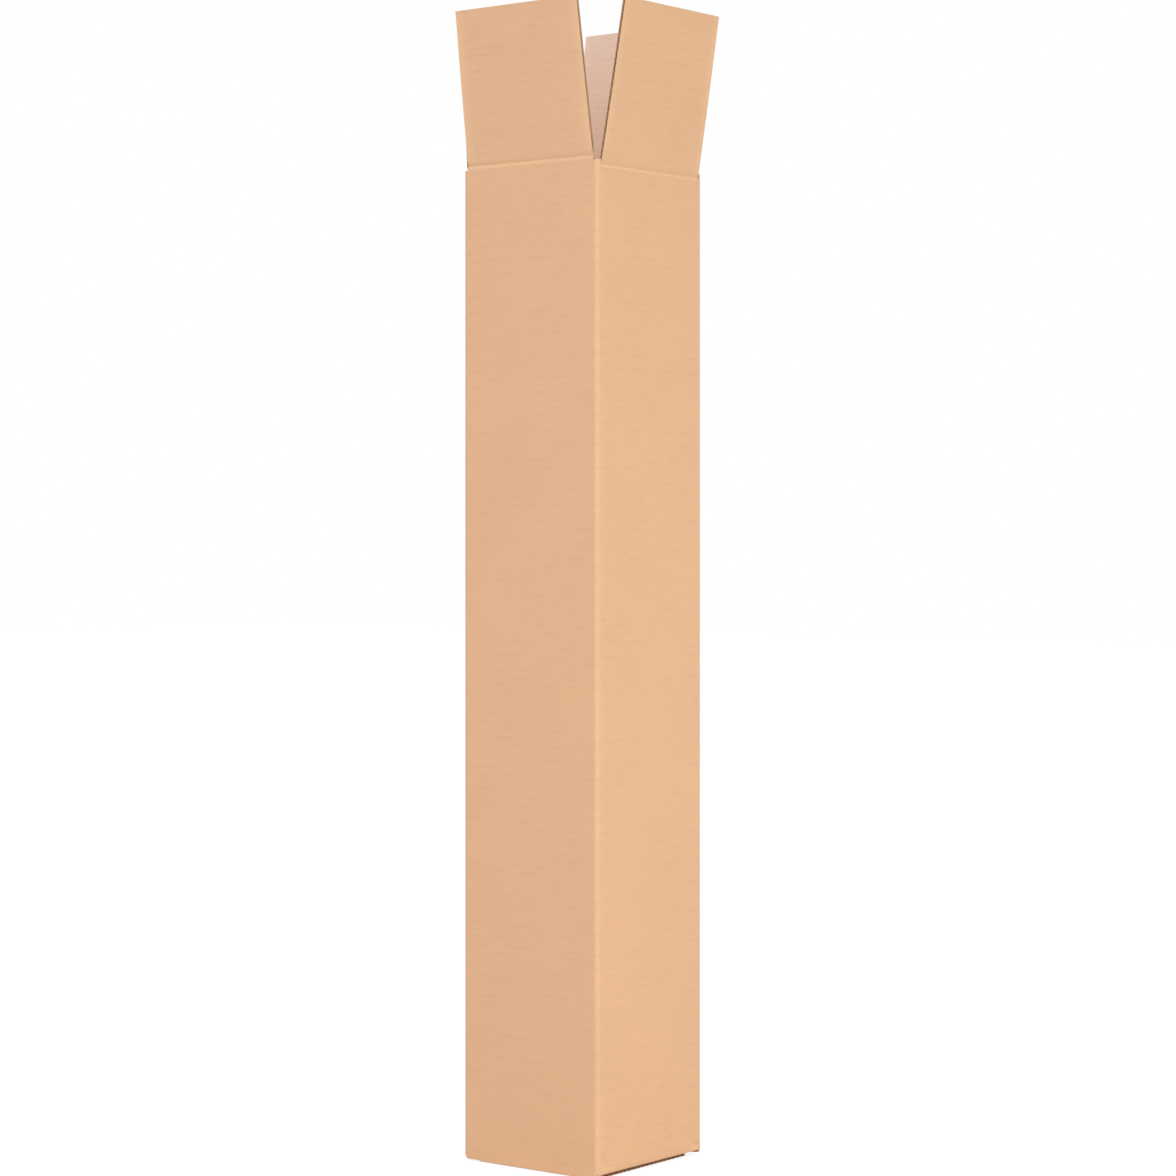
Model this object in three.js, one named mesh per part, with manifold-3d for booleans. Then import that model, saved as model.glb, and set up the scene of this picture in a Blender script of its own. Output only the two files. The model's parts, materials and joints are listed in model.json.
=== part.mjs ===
// Folding mailing tube: a tall square carton of single-wall corrugated board.
// One die-cut sheet makes four panels, four top flaps and four bottom flaps, and is glued along one rear corner.
// The flutes run level round the tube, so the side edges of every flap show the open corrugation.
// Millimetres, +Z up. The origin is the middle of the square section, on the surface the tube stands on.
// The front panel faces -Y, the right panel +X, the back panel +Y and the left panel -X.

import * as THREE from "three";
import { mergeVertices } from "three/addons/utils/BufferGeometryUtils.js";
import Module from "manifold-3d";

const wasm = await Module();
wasm.setup();

// Corrugated board
const boardThickness = 3;
const linerThickness = 0.35;
const mediumThickness = 0.4;
const flutePitch = 6.5;

// Tube section, outside
const tubeWidth = 150;
const tubeDepth = 150;
const cornerRadius = 4;

// Heights: at the top each score lies one layer above the score of the flap that closes before it
const sidePanelHeight = 863.8;
const topScoreStep = 3.5;
const sideFoldHeight = 3.5;

// Flaps: each reaches almost to the far panel, and the cut ends of the sheet are straight,
// so a panel with a lower top score has a longer flap
const flapEndGap = 15;
const slotInset = 5;
const slotRise = 3;
const flapTaper = 2.4;

// Tilt of each open top flap, outward from upright, in degrees
const frontFlapTilt = 8.5;
const rightFlapTilt = 10;
const backFlapTilt = 7.6;
const leftFlapTilt = 4;

// The front bottom flap is cut back further beside the left corner
const reliefWidth = 18;
const reliefHeight = 1.7;

// Glued joint at the back left corner
const tabWidth = 35;
const tabEndSetback = 14;
const tabEndSlope = 10;
const rawEdgeSetback = 2;

// Fits and folds: a score is a shallow groove outside and a mitre inside, and the board turns at its bottom
const clearance = 0.3;
const scoreDepth = 0.6;
const scoreRun = 3.5;
const mitreRun = 1.08;
const foldRadius = 2;
const arcSteps = 6;

// Derived sizes
const halfWidth = tubeWidth / 2;
const halfDepth = tubeDepth / 2;
const halfGap = clearance / 2;
const layerPitch = boardThickness + clearance;
const rightTop = sideFoldHeight + sidePanelHeight;
const leftTop = rightTop + topScoreStep;
const frontTop = leftTop + topScoreStep;
const backTop = frontTop + topScoreStep;
const flapLength = Math.min(tubeWidth, tubeDepth) - flapEndGap;
const sheetTop = frontTop + flapLength;
const frontBottom = scoreDepth;
const sideFlapLength = flapLength + sideFoldHeight;
const overcut = 1;
const cutReach = 40;

const kraft = { color: 0xdcb088, roughness: 0.85, metalness: 0 };

// A panel: the turn about +Z that takes the front panel to it, its distance from the axis and half its width
const panels = {
  front: { turn: 0, reach: halfDepth, half: halfWidth },
  right: { turn: 90, reach: halfWidth, half: halfDepth },
  back: { turn: 180, reach: halfDepth, half: halfWidth },
  left: { turn: 270, reach: halfWidth, half: halfDepth },
};

const p2 = (x, y) => new THREE.Vector2(x, y);

/** Turns a closed geometry into a manifold-3d solid. */
function toSolid(geometry) {
  const bare = geometry.clone();
  bare.deleteAttribute("normal");
  bare.deleteAttribute("uv");
  const merged = mergeVertices(bare, 1e-4);
  return new wasm.Manifold(
    new wasm.Mesh({
      numProp: 3,
      vertProperties: new Float32Array(merged.attributes.position.array),
      triVerts: new Uint32Array(merged.index.array),
    }),
  );
}

/** Turns a manifold-3d solid back into a geometry. */
function toGeometry(solid) {
  const mesh = solid.getMesh();
  const geometry = new THREE.BufferGeometry();
  geometry.setAttribute("position", new THREE.BufferAttribute(mesh.vertProperties, 3));
  geometry.setIndex(new THREE.BufferAttribute(mesh.triVerts, 1));
  geometry.computeVertexNormals();
  return geometry;
}

/** Points of an arc, from angle a0 to a1 in degrees. */
function arc(cx, cy, radius, a0, a1) {
  const points = [];
  for (let i = 0; i <= arcSteps; i++) {
    const a = THREE.MathUtils.degToRad(a0 + ((a1 - a0) * i) / arcSteps);
    points.push(p2(cx + radius * Math.cos(a), cy + radius * Math.sin(a)));
  }
  return points;
}

/** A prism that stands between two heights, from a shape in plan. */
function upright(shape, low, high) {
  const geometry = new THREE.ExtrudeGeometry(shape, { depth: high - low, bevelEnabled: false });
  geometry.translate(0, 0, low);
  return toSolid(geometry);
}

/** A block between two corners. */
function block(x0, x1, y0, y1, z0, z1) {
  const geometry = new THREE.BoxGeometry(x1 - x0, y1 - y0, z1 - z0);
  geometry.translate((x0 + x1) / 2, (y0 + y1) / 2, (z0 + z1) / 2);
  return toSolid(geometry);
}

/** Moves a solid made at the origin, with its width along X and inward along +Y, to a panel's outer face. */
function onPanel(solid, panel) {
  return solid.translate([0, -panel.reach, 0]).rotate([0, 0, panel.turn]);
}

/** A prism along a panel's width, from -half to +half, from a section in (inward, z). */
function acrossPanel(section, half, panel) {
  const shape = new THREE.Shape(section);
  const geometry = new THREE.ExtrudeGeometry(shape, { depth: 2 * half, bevelEnabled: false });
  geometry.translate(0, 0, -half);
  const [x, y, z] = [new THREE.Vector3(0, 1, 0), new THREE.Vector3(0, 0, 1), new THREE.Vector3(1, 0, 0)];
  geometry.applyMatrix4(new THREE.Matrix4().makeBasis(x, y, z));
  return onPanel(toSolid(geometry), panel);
}

/** The four walls in plan. The left panel runs on round its back corner as a tab, glued inside the back panel. */
function wallShape() {
  const innerRadius = cornerRadius - boardThickness;
  const cornerX = halfWidth - cornerRadius;
  const cornerY = halfDepth - cornerRadius;
  const tabFace = halfDepth - boardThickness;
  const tabCornerY = tabFace - cornerRadius;
  const tabEnd = -halfWidth + boardThickness + tabWidth;
  const rawEdge = THREE.MathUtils.radToDeg(Math.acos(rawEdgeSetback / cornerRadius - 1));
  const shape = new THREE.Shape([
    ...arc(cornerX, -cornerY, cornerRadius, -90, 0),
    ...arc(cornerX, cornerY, cornerRadius, 0, 90),
    p2(-halfWidth + rawEdgeSetback, halfDepth),
    ...arc(-cornerX, tabCornerY, cornerRadius, rawEdge, 180),
    ...arc(-cornerX, -cornerY, cornerRadius, 180, 270),
  ]);
  shape.holes.push(new THREE.Path([
    ...arc(cornerX, -cornerY, innerRadius, -90, 0),
    ...arc(cornerX, cornerY, innerRadius, 0, 90),
    p2(tabEnd, tabFace),
    p2(tabEnd, tabFace - boardThickness),
    ...arc(-cornerX, tabCornerY, innerRadius, 90, 180),
    ...arc(-cornerX, -cornerY, innerRadius, 180, 270),
  ]));
  return shape;
}

/** Cuts the glue tab back from one end of the tube, along a slope. The way is +1 at the top and -1 at the bottom. */
function tabEndCutter(z, way) {
  const root = -halfWidth + boardThickness;
  const tip = root + tabWidth + overcut;
  const outline = [
    p2(root, z + way * cutReach),
    p2(tip, z + way * cutReach),
    p2(tip, z - way * tabEndSlope),
    p2(root, z),
  ];
  const depth = boardThickness + overcut;
  const geometry = new THREE.ExtrudeGeometry(new THREE.Shape(outline), { depth, bevelEnabled: false });
  geometry.rotateX(Math.PI / 2);
  geometry.translate(0, halfDepth - boardThickness, 0);
  return toSolid(geometry);
}

/** Cuts a panel off at a score: a groove outside, then a mitre to the inner face. The way is +1 at the top. */
function scoreCutter(panel, z, way) {
  const grooveSlope = (scoreRun - halfGap) / scoreDepth;
  const far = boardThickness + overcut;
  const section = [
    p2(-overcut, z - way * (scoreRun + overcut * grooveSlope)),
    p2(scoreDepth, z - way * halfGap),
    p2(far, z - way * (halfGap + (far - scoreDepth) * mitreRun)),
    p2(far, z + way * cutReach),
    p2(-overcut, z + way * cutReach),
  ];
  return acrossPanel(section, panel.half - slotInset, panel);
}

/** The slots between the flaps: the corners of the tube, cut back at the top and at the bottom. */
function slotCutters() {
  const cutters = [];
  const rise = rightTop + slotRise;
  const drop = sideFoldHeight - overcut;
  for (const { turn } of Object.values(panels)) {
    const [x, y] = turn % 180 === 0 ? [halfWidth, halfDepth] : [halfDepth, halfWidth];
    const corner = [x - slotInset, x + cutReach, y - slotInset, y + cutReach];
    cutters.push(block(...corner, rise, backTop + cutReach).rotate([0, 0, turn]));
    cutters.push(block(...corner, -cutReach, drop).rotate([0, 0, turn]));
  }
  return cutters;
}

/** A panel's foot down to a fold, for the start of the section of a folded flap. */
function foot(lowest, top) {
  return [p2(0, top), ...arc(foldRadius, lowest + foldRadius, foldRadius, 180, 270)];
}

/** The folded board of one inner bottom flap, tapered in plan, from a section in (inward, z). */
function foldedFlap(panel, section, length) {
  const hinge = panel.half - slotInset;
  const tip = hinge - flapTaper;
  const plan = new THREE.Shape([
    p2(-hinge, -overcut),
    p2(hinge, -overcut),
    p2(hinge, boardThickness),
    p2(tip, length),
    p2(-tip, length),
    p2(-hinge, boardThickness),
  ]);
  const mask = onPanel(upright(plan, -cutReach, cutReach), panel);
  return acrossPanel(section, hinge, panel).intersect(mask);
}

/** The back bottom flap starts on the floor and climbs onto the end of the front one. */
function backBottomFlap() {
  const climbEnd = tubeDepth - flapLength - clearance;
  const level = layerPitch;
  const top = level + boardThickness;
  const section = [
    ...foot(0, top + boardThickness),
    p2(2 * foldRadius, 0),
    p2(climbEnd, level),
    p2(flapLength, level),
    p2(flapLength, top),
    p2(climbEnd, top),
    p2(boardThickness, boardThickness + clearance),
    p2(boardThickness, top + boardThickness),
  ];
  return foldedFlap(panels.back, section, flapLength);
}

/** The right bottom flap rolls up past the side of the back one and lies on it. */
function rightBottomFlap() {
  const level = 2 * layerPitch;
  const top = level + boardThickness;
  const section = [
    ...foot(sideFoldHeight, top + boardThickness),
    p2(slotInset - clearance, level),
    p2(sideFlapLength, level),
    p2(sideFlapLength, top),
    p2(boardThickness, top),
    p2(boardThickness, top + boardThickness),
  ];
  return foldedFlap(panels.right, section, sideFlapLength);
}

/** The left bottom flap is the innermost: it climbs over the back flap's side and the right flap's end. */
function leftBottomFlap() {
  const level = 3 * layerPitch;
  const top = level + boardThickness;
  const climbEnd = tubeWidth - sideFlapLength - clearance;
  const section = [
    ...foot(sideFoldHeight, top + boardThickness),
    p2(slotInset - clearance, 2 * layerPitch),
    p2(climbEnd, level),
    p2(sideFlapLength, level),
    p2(sideFlapLength, top),
    p2(climbEnd, top),
    p2(boardThickness, 3 * layerPitch),
    p2(boardThickness, top + boardThickness),
  ];
  return foldedFlap(panels.left, section, sideFlapLength);
}

/** The panels, the glued tab and the three bottom flaps that stay folded: one sheet of board. */
function tubeBody() {
  let body = upright(wallShape(), 0, backTop);
  const cut = (solid) => {
    body = body.subtract(solid);
  };
  cut(scoreCutter(panels.right, rightTop, 1));
  cut(scoreCutter(panels.left, leftTop, 1));
  cut(scoreCutter(panels.front, frontTop, 1));
  cut(scoreCutter(panels.back, backTop, 1));
  cut(scoreCutter(panels.front, frontBottom, -1));
  const folded = [[panels.back, 0], [panels.right, sideFoldHeight], [panels.left, sideFoldHeight]];
  for (const [panel, lowest] of folded) {
    const half = panel.half - slotInset;
    const band = block(-half, half, -overcut, boardThickness + overcut, -overcut, lowest + foldRadius);
    cut(onPanel(band, panel));
  }
  slotCutters().forEach(cut);
  const reliefEdge = -halfWidth + reliefWidth;
  const front = -halfDepth - overcut;
  cut(block(-halfWidth - overcut, reliefEdge, front, -halfDepth + cornerRadius, -overcut, reliefHeight));
  cut(tabEndCutter(rightTop - tabEndSetback, 1));
  cut(tabEndCutter(3 * layerPitch + tabEndSetback, -1));
  return body.add(backBottomFlap()).add(rightBottomFlap()).add(leftBottomFlap());
}

/** The open channels on both sides of the wavy medium, in a section in (along the flap, through the board). */
function fluteChannels(start, end) {
  const channels = [];
  const middle = boardThickness / 2 - scoreDepth;
  const amplitude = (boardThickness - 2 * linerThickness - mediumThickness) / 2;
  const halfMouth = 0.4 * flutePitch;
  const gluedCorner = 0.06 * flutePitch;
  const count = Math.floor((2 * (end - start)) / flutePitch) - 1;
  for (let i = 0; i < count; i++) {
    const centre = start + ((i + 1) * flutePitch) / 2;
    const side = i % 2 === 0 ? 1 : -1;
    const liner = side * (boardThickness / 2 - linerThickness);
    const points = [p2(centre - halfMouth, middle + liner), p2(centre + halfMouth, middle + liner)];
    points.push(p2(centre + halfMouth + gluedCorner, middle + liner - side * gluedCorner));
    for (const k of [2, 1, 0, -1, -2]) {
      const wave = (mediumThickness / 2 - amplitude * Math.cos((k * Math.PI) / 3)) * side;
      points.push(p2(centre + (k * flutePitch) / 6, middle + wave));
    }
    points.push(p2(centre - halfMouth - gluedCorner, middle + liner - side * gluedCorner));
    channels.push(new THREE.Path(points));
  }
  return channels;
}

/**
 * One flap of corrugated board in its own frame: X along the hinge, +Y inward through the board, +Z up the flap.
 * The hinge line is the X axis, at the bottom of the score's groove.
 */
function flapGeometry(hingeFrom, hingeTo, length) {
  const inner = boardThickness - scoreDepth;
  const innerFoot = halfGap + inner * mitreRun;
  const shape = new THREE.Shape([
    p2(halfGap, 0),
    p2(scoreRun, -scoreDepth),
    p2(length, -scoreDepth),
    p2(length, inner),
    p2(innerFoot, inner),
  ]);
  shape.holes.push(...fluteChannels(scoreRun + linerThickness, length - linerThickness));
  const geometry = new THREE.ExtrudeGeometry(shape, { depth: 1, bevelEnabled: false });
  const position = geometry.attributes.position;
  for (let i = 0; i < position.count; i++) {
    const along = position.getX(i);
    const taper = (flapTaper * along) / length;
    const across = position.getZ(i) > 0.5 ? hingeFrom + taper : hingeTo - taper;
    position.setXYZ(i, across, position.getY(i), along);
  }
  geometry.computeVertexNormals();
  return geometry;
}

const carton = new THREE.Group();
carton.name = "folding_mailing_tube";

function makeMesh(name, geometry) {
  const mesh = new THREE.Mesh(geometry, new THREE.MeshStandardMaterial(kraft));
  mesh.name = name;
  return mesh;
}

/** Hangs a flap on its panel, at the bottom of the score's groove. */
function hangFlap(mesh, panel, z) {
  const station = new THREE.Group();
  station.rotation.z = THREE.MathUtils.degToRad(panel.turn);
  mesh.position.set(0, -panel.reach + scoreDepth, z);
  station.add(mesh);
  carton.add(station);
}

/** A top flap, open and leaning outward by its tilt. */
function addTopFlap(name, panel, z, tilt) {
  const hinge = panel.half - slotInset - clearance;
  const mesh = makeMesh(name, flapGeometry(-hinge, hinge, sheetTop - z));
  mesh.rotation.x = THREE.MathUtils.degToRad(tilt);
  hangFlap(mesh, panel, z);
}

/** The front bottom flap is folded in last, under the others, with its outer face on the floor. */
function addBottomFlap() {
  const hingeFrom = -halfWidth + slotInset + clearance;
  const hingeTo = halfWidth - reliefWidth;
  const mesh = makeMesh("bottom_flap_front", flapGeometry(hingeFrom, hingeTo, flapLength));
  mesh.rotation.set(Math.PI / 2, Math.PI, 0);
  hangFlap(mesh, panels.front, frontBottom);
}

carton.add(makeMesh("tube_body", toGeometry(tubeBody())));
addTopFlap("top_flap_front", panels.front, frontTop, frontFlapTilt);
addTopFlap("top_flap_right", panels.right, rightTop, rightFlapTilt);
addTopFlap("top_flap_back", panels.back, backTop, backFlapTilt);
addTopFlap("top_flap_left", panels.left, leftTop, leftFlapTilt);
addBottomFlap();

export default carton;
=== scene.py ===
# Looks of a folding mailing tube: fine meshes of its corrugated kraft board, its scores and its cut edges.
# Metres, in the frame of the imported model.
# A panel's own coordinates are across, inset from its outer face, and z.

import json
import math

import bpy
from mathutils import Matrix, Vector, noise


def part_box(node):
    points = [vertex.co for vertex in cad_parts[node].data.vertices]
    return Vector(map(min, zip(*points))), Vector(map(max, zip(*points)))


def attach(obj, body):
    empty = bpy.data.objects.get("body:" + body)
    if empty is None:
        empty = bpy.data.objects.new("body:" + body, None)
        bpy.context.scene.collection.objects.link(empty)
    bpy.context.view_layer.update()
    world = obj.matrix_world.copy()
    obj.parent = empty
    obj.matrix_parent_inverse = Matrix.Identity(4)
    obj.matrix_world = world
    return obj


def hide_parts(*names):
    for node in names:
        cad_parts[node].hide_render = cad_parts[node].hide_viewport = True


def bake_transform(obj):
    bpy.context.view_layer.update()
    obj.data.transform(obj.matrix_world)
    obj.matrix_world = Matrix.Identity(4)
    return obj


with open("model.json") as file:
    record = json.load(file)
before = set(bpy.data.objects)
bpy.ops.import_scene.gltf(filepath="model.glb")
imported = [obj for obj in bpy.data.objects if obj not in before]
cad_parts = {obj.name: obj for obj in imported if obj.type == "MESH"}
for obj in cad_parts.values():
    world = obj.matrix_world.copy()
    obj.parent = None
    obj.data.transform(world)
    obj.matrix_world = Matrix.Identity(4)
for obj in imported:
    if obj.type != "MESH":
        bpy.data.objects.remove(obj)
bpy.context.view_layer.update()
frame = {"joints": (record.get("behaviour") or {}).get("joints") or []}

MM = 0.001
JOINTS = {joint["child"]: joint for joint in frame["joints"]}

# Board
BOARD = 3.0 * MM
LINER = 0.35 * MM
MEDIUM = 0.3 * MM
PITCH = 6.5 * MM
WASHBOARD = 0.09 * MM

# Tube section, from the frame
HALF = Vector(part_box("tube_body")[1]).x
CORNER = 4.0 * MM
RAW_EDGE = 2.0 * MM
SLOT_INSET = 5.0 * MM
SLOT_RISE = 3.0 * MM
FLAP_TAPER = 2.4 * MM
SIDE_GAP = 0.3 * MM

# Scores
SCORE_DEPTH = 0.6 * MM
SCORE_REACH = 3.8 * MM
GROOVE = 1.0 * MM
INNER_CRUSH = 0.5 * MM
LAP = 0.3 * MM

# Folds
PANELS = ["front", "right", "back", "left"]
TURN = {name: math.radians(90 * i) for i, name in enumerate(PANELS)}
TOP_FOLD = {name: JOINTS[name + "_flap"]["pos_m"][2] for name in PANELS}
SIDE_FOLD = 3.5 * MM
RELIEF_EDGE = -HALF + 18.0 * MM
RELIEF_RISE = 1.7 * MM
CORNER_CHAMFER = 2.4 * MM
END_CALM = 8.0 * MM
BOTTOM_FOLD = {"front": SCORE_DEPTH, "right": SIDE_FOLD, "back": 0.0, "left": SIDE_FOLD}
FOLDED_START = 6.0 * MM
LAYER = 3.3 * MM
FLAP_BOW = 0.3 * MM
TILT = {"front": 8.5, "right": 10.0, "back": 7.6, "left": 4.0}
SHEET_TOP = TOP_FOLD["front"] + 0.135
FLAP_LENGTH = {name: SHEET_TOP - TOP_FOLD[name] for name in PANELS}
BASE_FLAP_LENGTH = 0.135

# Outer faces of the folded bottom flaps from each panel's foot to the flap's end: inset and height in mm
FOLDED_SECTIONS = {
    "back": [(0, 6.3), (0, 2.4), (0.5, 1.5), (4.0, 1.8), (12, 3.3), (40, 3.3), (135, 3.3)],
    "right": [(0, 9.8), (0, 5.2), (0.6, 4.3), (2.6, 4.6), (5.2, 6.7), (20, 6.7), (138.5, 6.7)],
    "left": [(0, 9.8), (0, 5.2), (0.6, 4.3), (2.6, 4.8), (5.0, 7.0), (11.2, 10), (138.5, 10)],
}

TAB_WIDTH = 35.0 * MM
TAB_SLOPE = 10.0 * MM


def noise3(x, y, z):
    return noise.noise(Vector((x, y, z)))


def place(panel, across, inset, z):
    """A point of a panel's own coordinates, in the frame."""
    turn = TURN[panel]
    x, y = across, -HALF + inset
    return (x * math.cos(turn) - y * math.sin(turn), x * math.sin(turn) + y * math.cos(turn), z)


class MeshMaker:
    """Collects vertices, faces, board coordinates and a paleness mask for scuffs and painted light, and
    makes one object from them.
    """

    def __init__(self):
        self.points = []
        self.board = []
        self.wear = []
        self.faces = []
        self.slots = []

    def add(self, point, across, along, wear=0.0):
        self.points.append(point)
        self.board.append((across, along))
        self.wear.append(wear)
        return len(self.points) - 1

    def quad(self, corners, slot):
        self.faces.append(corners)
        self.slots.append(slot)

    def grid(self, rows, slot, flip=False):
        """Faces between neighbouring rows of vertex numbers."""
        for below, above in zip(rows, rows[1:]):
            for i in range(len(below) - 1):
                corners = (below[i], below[i + 1], above[i + 1], above[i])
                self.quad(corners[::-1] if flip else corners, slot)

    def build(self, name, materials):
        mesh = bpy.data.meshes.new(name)
        mesh.from_pydata(self.points, [], self.faces)
        for material in materials:
            mesh.materials.append(material)
        mesh.polygons.foreach_set("material_index", self.slots)
        mesh.polygons.foreach_set("use_smooth", [True] * len(self.faces))
        layer = mesh.uv_layers.new(name="board")
        loops = [0] * len(mesh.loops)
        mesh.loops.foreach_get("vertex_index", loops)
        layer.data.foreach_set("uv", [value for i in loops for value in self.board[i]])
        wear = mesh.attributes.new("wear", "FLOAT", "POINT")
        wear.data.foreach_set("value", self.wear)
        mesh.validate()
        mesh.update()
        mesh.set_sharp_from_angle(angle=math.radians(40))
        obj = bpy.data.objects.new(name, mesh)
        bpy.context.scene.collection.objects.link(obj)
        return obj


# Materials

def ramp_node(nodes, stops):
    ramp = nodes.new("ShaderNodeValToRGB")
    while len(ramp.color_ramp.elements) < len(stops):
        ramp.color_ramp.elements.new(0.5)
    for element, (position, value) in zip(ramp.color_ramp.elements, stops):
        element.position = position
        element.color = (value, value, value, 1.0)
    return ramp


def linear(r, g, b):
    """A colour from its 8-bit sRGB values."""
    def channel(value):
        c = value / 255
        return c / 12.92 if c <= 0.04045 else ((c + 0.055) / 1.055) ** 2.4
    return (channel(r), channel(g), channel(b), 1.0)


def kraft_material(name, colour, worn_and_lit, ripple=1.0, roughness=0.82):
    """Kraft liner: fibres, specks, cloudy tone, level streaks over the flutes, and a paler colour on
    scuffed ridges and where light is painted on.
    """
    material = bpy.data.materials.new(name)
    material.use_nodes = True
    nodes, links = material.node_tree.nodes, material.node_tree.links
    shader = nodes["Principled BSDF"]
    shader.inputs["Roughness"].default_value = roughness
    shader.inputs["Specular IOR Level"].default_value = 0.25
    board = nodes.new("ShaderNodeUVMap")
    board.uv_map = "board"

    def scaled(x, y):
        mapping = nodes.new("ShaderNodeMapping")
        mapping.inputs["Scale"].default_value = (x, y, 1.0)
        links.new(board.outputs["UV"], mapping.inputs["Vector"])
        return mapping.outputs["Vector"]

    def noise_at(vector, scale, detail=3.0, rough=0.5, distortion=0.0):
        node = nodes.new("ShaderNodeTexNoise")
        node.inputs["Scale"].default_value = scale
        node.inputs["Detail"].default_value = detail
        node.inputs["Roughness"].default_value = rough
        node.inputs["Distortion"].default_value = distortion
        links.new(vector, node.inputs["Vector"])
        return node.outputs["Fac"]

    def maths(operation, a, b):
        node = nodes.new("ShaderNodeMath")
        node.operation = operation
        for socket, value in zip(node.inputs, (a, b)):
            if isinstance(value, float):
                socket.default_value = value
            else:
                links.new(value, socket)
        return node.outputs["Value"]

    def spread(value, low, high):
        node = nodes.new("ShaderNodeMapRange")
        node.inputs["To Min"].default_value = low
        node.inputs["To Max"].default_value = high
        links.new(value, node.inputs["Value"])
        return node.outputs["Result"]

    clouds = spread(noise_at(scaled(1, 1), 14.0), 0.955, 1.045)
    patches = spread(noise_at(scaled(1, 2.5), 90.0, 4.0, 0.6), 0.965, 1.035)
    fibres = spread(noise_at(scaled(1, 2.2), 1500.0, 4.0, 0.65, 1.2), 0.90, 1.10)
    speck_ramp = ramp_node(nodes, [(0.0, 0.80), (0.27, 0.86), (0.33, 1.0), (1.0, 1.0)])
    links.new(noise_at(scaled(1, 1.6), 620.0, 2.0, 0.5, 0.6), speck_ramp.inputs["Fac"])

    wave = nodes.new("ShaderNodeTexWave")
    wave.wave_type = "BANDS"
    wave.bands_direction = "Y"
    wave.wave_profile = "SIN"
    wave.inputs["Scale"].default_value = 2 * math.pi / 20 / PITCH
    wave.inputs["Distortion"].default_value = 0.0
    links.new(board.outputs["UV"], wave.inputs["Vector"])
    streak_mask = ramp_node(nodes, [(0.0, 0.0), (0.42, 0.05), (0.66, 1.0), (1.0, 1.0)])
    links.new(noise_at(scaled(1, 3.0), 55.0, 4.0, 0.6), streak_mask.inputs["Fac"])
    streak = maths("MULTIPLY", wave.outputs["Fac"], streak_mask.outputs["Color"])
    streaks = spread(streak, 1.0, 1.0 - 0.05 * ripple)

    tone = maths("MULTIPLY", maths("MULTIPLY", clouds, patches), maths("MULTIPLY", fibres, streaks))
    tone = maths("MULTIPLY", tone, speck_ramp.outputs["Color"])
    wear = nodes.new("ShaderNodeAttribute")
    wear.attribute_name = "wear"
    # Mixes toward the paler colour by the mask: scuffed ridges on the shell, and painted highlights and
    # painted light on creases and rims.
    rubbed_and_lit = nodes.new("ShaderNodeMix")
    rubbed_and_lit.data_type = "RGBA"
    rubbed_and_lit.inputs["A"].default_value = colour
    rubbed_and_lit.inputs["B"].default_value = worn_and_lit
    links.new(wear.outputs["Fac"], rubbed_and_lit.inputs["Factor"])
    toned = nodes.new("ShaderNodeVectorMath")
    toned.operation = "SCALE"
    links.new(rubbed_and_lit.outputs["Result"], toned.inputs[0])
    links.new(tone, toned.inputs["Scale"])
    links.new(toned.outputs["Vector"], shader.inputs["Base Color"])

    height = maths("ADD", maths("MULTIPLY", fibres, 0.55), maths("MULTIPLY", streak, 0.5 * ripple))
    bump = nodes.new("ShaderNodeBump")
    bump.inputs["Strength"].default_value = 0.28
    bump.inputs["Distance"].default_value = 0.12 * MM
    links.new(height, bump.inputs["Height"])
    links.new(bump.outputs["Normal"], shader.inputs["Normal"])
    return material


OUTSIDE = kraft_material("kraft_outside", linear(229, 184, 145), linear(241, 200, 160))
# The inner liner is paler than the outer one, and its colour is raised further as painted light on the
# shaded inside faces.
INSIDE = kraft_material("kraft_inside", linear(246, 220, 201), linear(249, 229, 213), ripple=0.8)
# The cut edge colour is painted lighter than the board's own cut edge: painted light against the shade in
# the open flutes.
EDGE = kraft_material("kraft_cut_edge", linear(208, 165, 129), linear(228, 188, 152),
                      ripple=0.0, roughness=0.95)
MATERIALS = [OUTSIDE, INSIDE, EDGE]
OUT, IN, CUT = range(3)


def washboard(across, along, strength=1.0):
    """How far the liner sinks between two flute tips."""
    local = 0.75 + 0.5 * noise3(across * 9, along * 60, 3.0)
    return WASHBOARD * strength * local * (0.5 - 0.5 * math.cos(2 * math.pi * along / PITCH))


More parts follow.
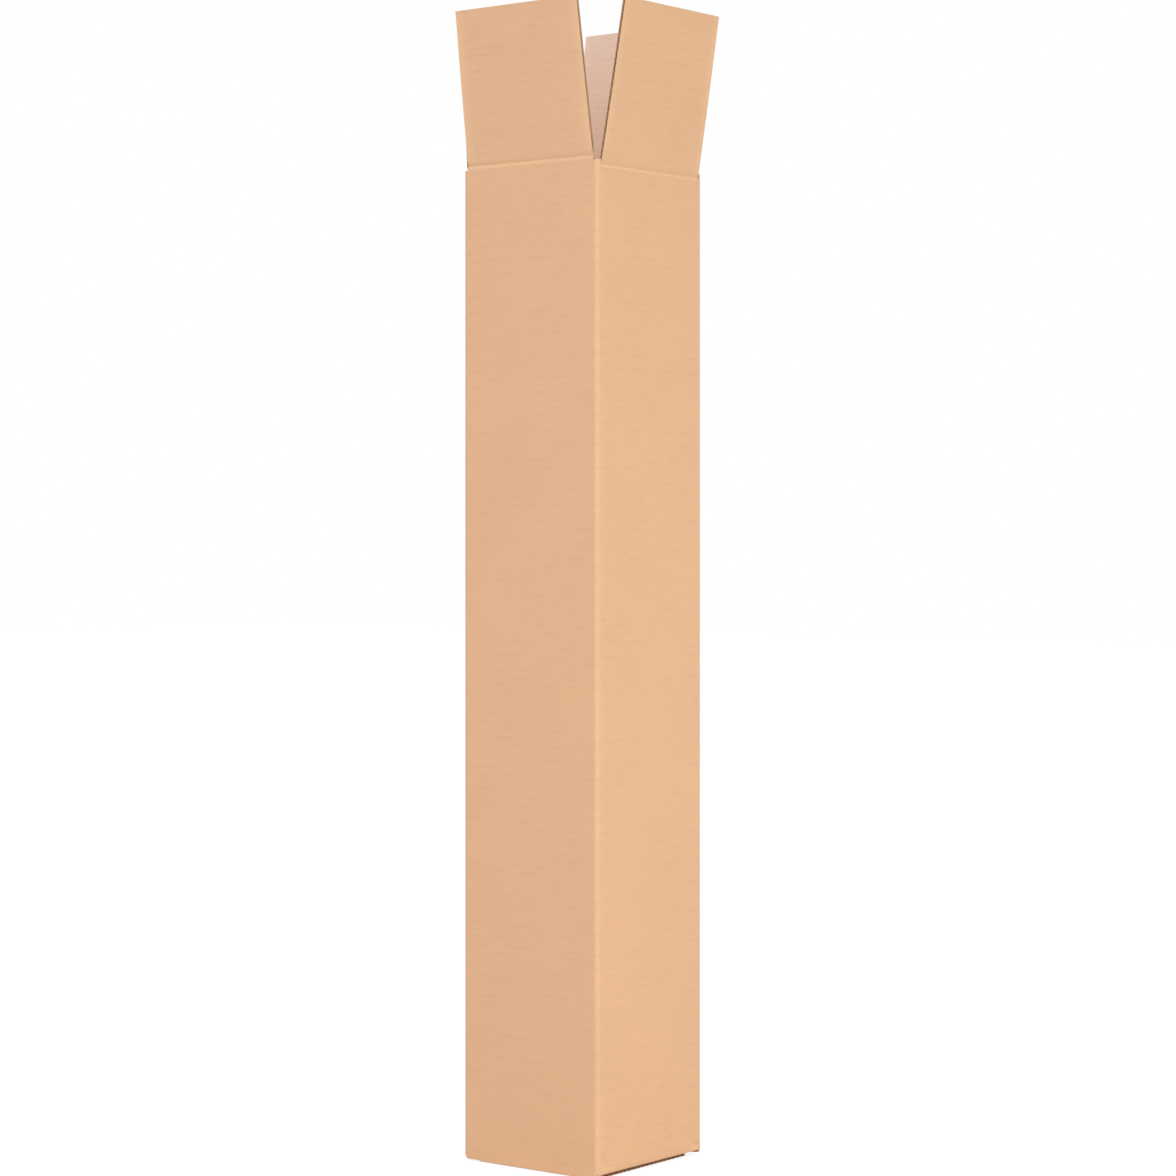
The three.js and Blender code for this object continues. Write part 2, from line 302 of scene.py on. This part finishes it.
def board_strip(maker, panel, path, s_from, s_to, edges, seed, columns=8, step=PITCH / 8):
    """Corrugated board along a path: two liners and the wavy medium, open at the side edges.

    path(s, depth) gives (inset, z) at a depth under the outer face, and edges(s) the two ends across.
    """
    count = max(2, round((s_to - s_from) / step))
    stations = [s_from + (s_to - s_from) * i / count for i in range(count + 1)]
    ripple_end = 6 * MM

    def sheet(depths, slot_out, slot_in, washes):
        skins = []
        for depth_at, wash in zip(depths, washes):
            rows = []
            for s in stations:
                low, high = edges(s)
                row = []
                for c in range(columns + 1):
                    across = low + (high - low) * c / columns
                    near = min(s - s_from, s_to - s, ripple_end) / ripple_end
                    sink = wash * washboard(across + seed, s, max(0.0, near))
                    inset, z = path(s, depth_at(s) + sink)
                    # Painted light: the side rims and cut edges are painted paler to make up for the shade
                    # they sit in.
                    wear = 0.5 if c in (0, columns) else 0.0
                    row.append(maker.add(place(panel, across, inset, z), across + seed, s, wear))
                rows.append(row)
            skins.append(rows)
        outer, inner = skins
        maker.grid(outer, slot_out)
        maker.grid(inner, slot_in, flip=True)
        for side in (0, -1):
            rim = [[a[side], b[side]] for a, b in zip(outer, inner)]
            maker.grid(rim, CUT, flip=side == 0)
        for end in (0, -1):
            rim = [[a, b] for a, b in zip(outer[end], inner[end])]
            maker.grid(rim, CUT, flip=end == -1)

    def flat(depth):
        return lambda s: depth

    sheet((flat(0.0), flat(LINER)), OUT, CUT, (1, 0))
    sheet((flat(BOARD - LINER), flat(BOARD)), CUT, IN, (0, -1))
    swing = (BOARD - 2 * LINER - MEDIUM) / 2
    middle = BOARD / 2

    def medium(offset):
        return lambda s: middle + offset + swing * math.cos(2 * math.pi * s / PITCH)

    sheet((medium(-MEDIUM / 2), medium(MEDIUM / 2)), CUT, CUT, (0, 0))


def straight_path(pivot, direction, normal, length, bow=0.0):
    """A path that leaves a hinge line in a direction, with the outer face on its outer side."""
    def path(s, depth):
        lean = -bow * math.sin(math.pi * min(max(s / length, 0.0), 1.0))
        out = depth - SCORE_DEPTH + lean
        inset = pivot[0] + direction[0] * s + normal[0] * out
        z = pivot[1] + direction[1] * s + normal[1] * out
        return (inset, z)
    return path


def top_flap_frame(panel):
    tilt = math.radians(TILT[panel])
    pivot = (SCORE_DEPTH, TOP_FOLD[panel])
    return pivot, (-math.sin(tilt), math.cos(tilt)), (math.cos(tilt), math.sin(tilt))


def tapered(low, high, length):
    def edges(s):
        inset = FLAP_TAPER * s / length
        return low + inset, high - inset
    return edges


def crease(name, panel, fold_point, flap_direction, flap_normal, z_way, edges):
    """The scored board between a panel and its flap: one fixed strip, curved from the panel into the flap.
    """
    maker = MeshMaker()
    count = 28
    columns = 40
    full = math.atan2(flap_normal[1], flap_normal[0])
    loops = []
    for c in range(columns + 1):
        loop = []
        for skin in (0, 1):
            order = range(count + 1) if skin == 0 else range(count, -1, -1)
            for i in order:
                s = -SCORE_REACH - LAP + 2 * (SCORE_REACH + LAP) * i / count
                low, high = edges(max(s, 0.0))
                across = low + (high - low) * c / columns
                part = min(max((s / SCORE_REACH + 1) / 2, 0.0), 1.0)
                angle = full * part * part * (3 - 2 * part)
                normal = (math.cos(angle), math.sin(angle))
                shape = (1 - min(abs(s) / SCORE_REACH, 1.0)) ** 1.7
                tuck = 0.03 * MM if abs(s) > SCORE_REACH else 0.0
                wobble = 0.12 * MM * noise3(across * 120, s * 90, 7.0) * shape
                if skin == 0:
                    out = -SCORE_DEPTH + GROOVE * shape + tuck + wobble
                else:
                    out = BOARD - SCORE_DEPTH - INNER_CRUSH * shape - tuck + wobble
                if s < 0:
                    inset, z = fold_point[0], fold_point[1] + z_way * s
                else:
                    inset = fold_point[0] + flap_direction[0] * s
                    z = fold_point[1] + flap_direction[1] * s
                # Painted highlight: the panel's side of the score, just below the fold, is painted paler
                # where it faces the light from above.
                wear = 0.6 * max(0.0, math.sin(-math.pi * s / SCORE_REACH)) if skin == 0 else 0.0
                point = place(panel, across, inset + normal[0] * out, z + normal[1] * out)
                loop.append(maker.add(point, across, fold_point[1] + s, wear))
        loops.append(loop)
    size = 2 * (count + 1)
    for a, b in zip(loops, loops[1:]):
        for i in range(size):
            j = (i + 1) % size
            slot = OUT if i < count else IN if count < i < size - 1 else CUT
            corners = (a[i], b[i], b[j], a[j])
            maker.quad(corners if z_way > 0 else corners[::-1], slot)
    for loop, flip in ((loops[0], z_way < 0), (loops[-1], z_way > 0)):
        for i in range(count):
            corners = (loop[i], loop[i + 1], loop[size - 2 - i], loop[size - 1 - i])
            maker.quad(corners[::-1] if flip else corners, CUT)
    obj = maker.build(name, MATERIALS)
    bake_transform(obj)


def make_top_flap(panel, seed):
    low = -HALF + SLOT_INSET + SIDE_GAP
    pivot, direction, normal = top_flap_frame(panel)
    length = FLAP_LENGTH[panel]
    edges = tapered(low, -low, length)
    maker = MeshMaker()
    path = straight_path(pivot, direction, normal, length, FLAP_BOW)
    board_strip(maker, panel, path, SCORE_REACH, length, edges, seed, columns=14)
    obj = maker.build("flap_" + panel, MATERIALS)
    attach(obj, panel + "_flap")
    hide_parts("top_flap_" + panel)
    crease("score_top_" + panel, panel, pivot, direction, normal, 1, edges)


def make_bottom_flap():
    """The outermost bottom flap, on the floor."""
    low = -HALF + SLOT_INSET + SIDE_GAP
    length = BASE_FLAP_LENGTH
    edges = tapered(RELIEF_EDGE, -low, length)
    pivot, direction, normal = (SCORE_DEPTH, SCORE_DEPTH), (1.0, 0.0), (0.0, 1.0)
    maker = MeshMaker()
    path = straight_path(pivot, direction, normal, length)
    board_strip(maker, "front", path, SCORE_REACH, length, edges, 0.7)
    obj = maker.build("flap_base", MATERIALS)
    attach(obj, "base_flap")
    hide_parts("bottom_flap_front")
    crease("score_base", "front", pivot, direction, normal, -1, edges)


def smooth_path(waypoints):
    """A path along rounded waypoints of the outer face, by arc length, with depth into the board."""
    points = [Vector(p) for p in waypoints]
    for _ in range(3):
        rounded = [points[0]]
        for a, b in zip(points, points[1:]):
            rounded += [a.lerp(b, 0.25), a.lerp(b, 0.75)]
        points = rounded + [points[-1]]
    lengths = [0.0]
    for a, b in zip(points, points[1:]):
        lengths.append(lengths[-1] + (b - a).length)

    def at(s):
        s = min(max(s, 0.0), lengths[-1])
        i = 1
        while i < len(lengths) - 1 and lengths[i] < s:
            i += 1
        share = (s - lengths[i - 1]) / max(lengths[i] - lengths[i - 1], 1e-9)
        return points[i - 1].lerp(points[i], share)

    def path(s, depth):
        reach = 0.8 * MM
        tangent = (at(s + reach) - at(s - reach)).normalized()
        base = at(s)
        return (base.x - tangent.y * depth, base.y + tangent.x * depth)

    return path, lengths[-1]


def make_folded_flap(panel, seed):
    """A bottom flap that stays folded, from the foot of its panel."""
    low = -HALF + SLOT_INSET
    path, length = smooth_path([(x * MM, z * MM) for x, z in FOLDED_SECTIONS[panel]])
    maker = MeshMaker()
    board_strip(maker, panel, path, 0.0, length, tapered(low, -low, length), seed, columns=6)
    obj = maker.build("folded_" + panel, MATERIALS)
    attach(obj, "carton")


def make_tab():
    """The glue tab inside the back panel, with its cut edge's open flutes."""
    low, high = BOARD + LAYER * 3 + 14 * MM, TOP_FOLD["right"] - 14 * MM
    root = HALF - BOARD - 1.2 * MM
    maker = MeshMaker()

    def path(s, depth):
        return (BOARD + 0.02 * MM + depth, s)

    def edges(s):
        slope = min(1.0, (s - low) / TAB_SLOPE, (high - s) / TAB_SLOPE)
        return root - TAB_WIDTH * (0.04 + 0.96 * max(slope, 0.0)), root

    board_strip(maker, "back", path, low, high, edges, 1.3, columns=3)
    obj = maker.build("glue_tab", MATERIALS)
    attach(obj, "carton")


def make_raw_edge():
    """The open flutes of the back panel's cut edge, at the glued corner."""
    edge = HALF - RAW_EDGE
    maker = MeshMaker()

    def path(s, depth):
        return (0.01 * MM + depth * (1 - 0.02 * MM / BOARD), s)

    low = BOTTOM_FOLD["back"] + 3 * MM
    high = TOP_FOLD["right"] + SLOT_RISE
    board_strip(maker, "back", path, low, high, lambda s: (edge - 1.4 * MM, edge), 1.3, columns=1)
    obj = maker.build("joint_edge", MATERIALS)
    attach(obj, "carton")


def shell_columns():
    """The columns round the tube: place, outward normal, distance round, top, bottom, wear and bend."""
    columns = []
    post_top = TOP_FOLD["right"] + SLOT_RISE
    post_bottom = SIDE_FOLD - 1.0 * MM
    span = HALF - SLOT_INSET
    split = 0.1 * MM
    panel_steps = 12
    arc_steps = 8

    def add(panel, across, inset, normal, top, bottom, wear=0.0, bend=0.0):
        x, y, _ = place(panel, across, inset, 0.0)
        turn = TURN[panel]
        n = (normal[0] * math.cos(turn) - normal[1] * math.sin(turn),
             normal[0] * math.sin(turn) + normal[1] * math.cos(turn))
        around = 2 * HALF * PANELS.index(panel) + across
        columns.append({"at": (x, y), "normal": n, "around": around, "top": top, "bottom": bottom,
                        "wear": wear, "bend": bend})

    for panel in PANELS:
        top = TOP_FOLD[panel] - SCORE_REACH
        bottom = BOTTOM_FOLD[panel] + (SCORE_REACH if panel == "front" else FOLDED_START)
        straight = HALF - CORNER
        raw = panel == "back"
        left_bottom = RELIEF_RISE if panel == "front" else post_bottom
        add(panel, -straight, 0.0, (0, -1), post_top, left_bottom, 0.1)
        add(panel, -span - split, 0.0, (0, -1), post_top, left_bottom)
        stations = [-span + 2 * span * i / panel_steps for i in range(panel_steps + 1)]
        if panel == "front":
            stations = sorted(stations + [RELIEF_EDGE - split, RELIEF_EDGE])
        for across in stations:
            bend = math.cos(math.pi * across / (2 * span)) ** 2
            relieved = panel == "front" and across < RELIEF_EDGE
            add(panel, across, 0.0, (0, -1), top, RELIEF_RISE if relieved else bottom, 0.0, bend)
        add(panel, span + split, 0.0, (0, -1), post_top, post_bottom)
        if raw:
            add(panel, HALF - RAW_EDGE - 1.2 * MM, 0.0, (0, -1), post_top, post_bottom, 0.4)
            start = math.acos(RAW_EDGE / CORNER - 1) - math.pi / 2
            centre = (straight, BOARD + CORNER)
        else:
            start = 0.0
            centre = (straight, CORNER)
        first = 0 if raw else 1
        for i in range(first, arc_steps):
            angle = start + (math.pi / 2 - start) * i / arc_steps
            normal = (math.sin(angle), -math.cos(angle))
            across = centre[0] + CORNER * normal[0]
            inset = centre[1] + CORNER * normal[1]
            ridge = math.sin(math.pi * i / arc_steps) ** 6
            chamfer = CORNER_CHAMFER * math.sin(math.pi * i / arc_steps)
            add(panel, across, inset, normal, post_top, post_bottom + chamfer, 0.05 + 0.1 * ridge)
    return columns


def make_shell():
    """The four panels as one closed wall, from the scores at the bottom to the scores at the top."""
    maker = MeshMaker()
    columns = shell_columns()
    low_end, high_end = 14 * MM, TOP_FOLD["right"] - 10 * MM
    steps = round((high_end - low_end) / (PITCH / 4))
    inner_steps = 60
    end_steps = 4
    rim_steps = 3
    loops = []
    for column in columns:
        loop = []
        x, y = column["at"]
        nx, ny = column["normal"]
        around = column["around"]

        def put(inset, z, wear=0.0):
            loop.append(maker.add((x - nx * inset, y - ny * inset, z), around, z, wear))

        def calm_at(z):
            above = max(0.0, (z - column["bottom"]) / END_CALM)
            below = max(0.0, (column["top"] - z) / END_CALM)
            return min(1.0, above, below)

        def warp(z):
            return 0.45 * MM * column["bend"] * (0.5 + 0.5 * noise3(around * 3.1, z * 3.4, 1.0))

        outer = [column["bottom"] + (low_end - column["bottom"]) * i / end_steps for i in range(end_steps)]
        outer += [low_end + (high_end - low_end) * i / steps for i in range(steps + 1)]
        outer += [high_end + (column["top"] - high_end) * (i + 1) / end_steps for i in range(end_steps)]
        for z in outer:
            calm = calm_at(z)
            rub = column["wear"] * (0.7 + 0.6 * noise3(around * 20, z * 35, 5.0))
            put(warp(z) * calm + washboard(around, z, calm), z, min(1.0, max(0.0, rub)))
        for i in range(1, rim_steps + 1):
            put(BOARD * i / (rim_steps + 1), column["top"])
        for i in range(inner_steps + 1):
            z = column["top"] + (column["bottom"] - column["top"]) * i / inner_steps
            calm = calm_at(z)
            put(BOARD + warp(z) * calm * 0.6, z)
        for i in range(1, rim_steps + 1):
            put(BOARD * (1 - i / (rim_steps + 1)), column["bottom"])
        loops.append(loop)
    outer_count = len(outer)
    size = len(loops[0])
    for a, b in zip(loops, loops[1:] + loops[:1]):
        for i in range(size):
            j = (i + 1) % size
            if i < outer_count - 1:
                slot = OUT
            elif outer_count + rim_steps <= i < outer_count + rim_steps + inner_steps:
                slot = IN
            else:
                slot = CUT
            maker.quad((a[i], b[i], b[j], a[j]), slot)
    obj = maker.build("tube_shell", MATERIALS)
    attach(obj, "carton")
    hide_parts("tube_body")


make_shell()
make_tab()
make_raw_edge()
for number, side in enumerate(PANELS):
    make_top_flap(side, 0.31 * (number + 1))
make_bottom_flap()
make_folded_flap("back", 0.2)
make_folded_flap("right", 0.5)
make_folded_flap("left", 0.9)


# Camera: the fit of the photograph, with its horizon above the middle of the frame
PHOTO = 1176
FOCAL_PX = 3128.95
HORIZON_PX = 533.6
AZIMUTH = math.radians(38.23)
DISTANCE = 2767.45 * MM
SIDE_SHIFT = 4.31 * MM
EYE_HEIGHT = 547.8 * MM + SIDE_FOLD
SENSOR = 36.0


def make_camera():
    data = bpy.data.cameras.new("camera")
    data.sensor_width = SENSOR
    data.lens = FOCAL_PX / PHOTO * SENSOR
    data.shift_y = (HORIZON_PX - PHOTO / 2) / PHOTO
    data.clip_start = 0.1
    camera = bpy.data.objects.new("camera", data)
    bpy.context.scene.collection.objects.link(camera)
    ahead = Vector((-math.sin(AZIMUTH), math.cos(AZIMUTH), 0.0))
    right = Vector((math.cos(AZIMUTH), math.sin(AZIMUTH), 0.0))
    camera.location = right * SIDE_SHIFT - ahead * DISTANCE + Vector((0.0, 0.0, EYE_HEIGHT))
    camera.rotation_euler = (math.pi / 2, 0.0, AZIMUTH)
    bpy.context.scene.camera = camera


def shows_background(nodes, links):
    """1 for the rays that should see the plain white background."""
    path = nodes.new("ShaderNodeLightPath")
    value = path.outputs["Is Camera Ray"]
    for output in ("Is Glossy Ray", "Is Transmission Ray"):
        node = nodes.new("ShaderNodeMath")
        node.operation = "MAXIMUM"
        links.new(value, node.inputs[0])
        links.new(path.outputs[output], node.inputs[1])
        value = node.outputs["Value"]
    return value


def make_world():
    world = bpy.data.worlds.new("studio")
    bpy.context.scene.world = world
    world.use_nodes = True
    nodes, links = world.node_tree.nodes, world.node_tree.links
    soft = nodes["Background"]
    soft.inputs["Color"].default_value = (1.0, 1.0, 1.0, 1.0)
    soft.inputs["Strength"].default_value = 0.6
    white = nodes.new("ShaderNodeBackground")
    white.inputs["Color"].default_value = (1.0, 1.0, 1.0, 1.0)
    white.inputs["Strength"].default_value = 1.0
    mix = nodes.new("ShaderNodeMixShader")
    links.new(shows_background(nodes, links), mix.inputs["Fac"])
    links.new(soft.outputs["Background"], mix.inputs[1])
    links.new(white.outputs["Background"], mix.inputs[2])
    links.new(mix.outputs["Shader"], nodes["World Output"].inputs["Surface"])


def make_floor():
    size = 12.0
    mesh = bpy.data.meshes.new("floor")
    corners = [(-size, -size, 0), (size, -size, 0), (size, size, 0), (-size, size, 0)]
    mesh.from_pydata(corners, [], [(0, 1, 2, 3)])
    material = bpy.data.materials.new("floor_white")
    material.use_nodes = True
    nodes, links = material.node_tree.nodes, material.node_tree.links
    shader = nodes["Principled BSDF"]
    shader.inputs["Base Color"].default_value = (0.85, 0.85, 0.85, 1.0)
    shader.inputs["Roughness"].default_value = 0.9
    shader.inputs["Specular IOR Level"].default_value = 0.0
    shade = nodes.new("ShaderNodeBsdfDiffuse")
    shade.inputs["Color"].default_value = (0.35, 0.35, 0.35, 1.0)
    glow = nodes.new("ShaderNodeEmission")
    glow.inputs["Strength"].default_value = 0.84
    seen = nodes.new("ShaderNodeAddShader")
    links.new(shade.outputs["BSDF"], seen.inputs[0])
    links.new(glow.outputs["Emission"], seen.inputs[1])
    mix = nodes.new("ShaderNodeMixShader")
    links.new(shows_background(nodes, links), mix.inputs["Fac"])
    links.new(shader.outputs["BSDF"], mix.inputs[1])
    links.new(seen.outputs["Shader"], mix.inputs[2])
    links.new(mix.outputs["Shader"], nodes["Material Output"].inputs["Surface"])
    mesh.materials.append(material)
    floor = bpy.data.objects.new("floor", mesh)
    bpy.context.scene.collection.objects.link(floor)


def area_light(name, at, aim, size, power, colour):
    data = bpy.data.lights.new(name, "AREA")
    data.shape = "RECTANGLE"
    data.size, data.size_y = size
    data.energy = power
    data.color = colour
    light = bpy.data.objects.new(name, data)
    light.visible_camera = False
    light.location = at
    light.rotation_euler = (Vector(aim) - Vector(at)).to_track_quat("-Z", "Y").to_euler()
    bpy.context.scene.collection.objects.link(light)


make_camera()
make_world()
make_floor()
area_light("key", (1.8, -0.5, 0.27), (0.0, 0.0, 0.0), (0.9, 0.5), 10.5, (1.0, 0.985, 0.93))
area_light("fill", (-0.5, -1.9, 0.35), (0.0, 0.0, 0.0), (0.9, 0.5), 2.2, (1.0, 0.98, 0.98))
area_light("top", (0.9, -1.9, 3.4), (0.0, 0.0, 0.9), (2.2, 2.2), 42.0, (1.0, 0.985, 0.98))

bpy.context.scene.view_settings.view_transform = "Standard"
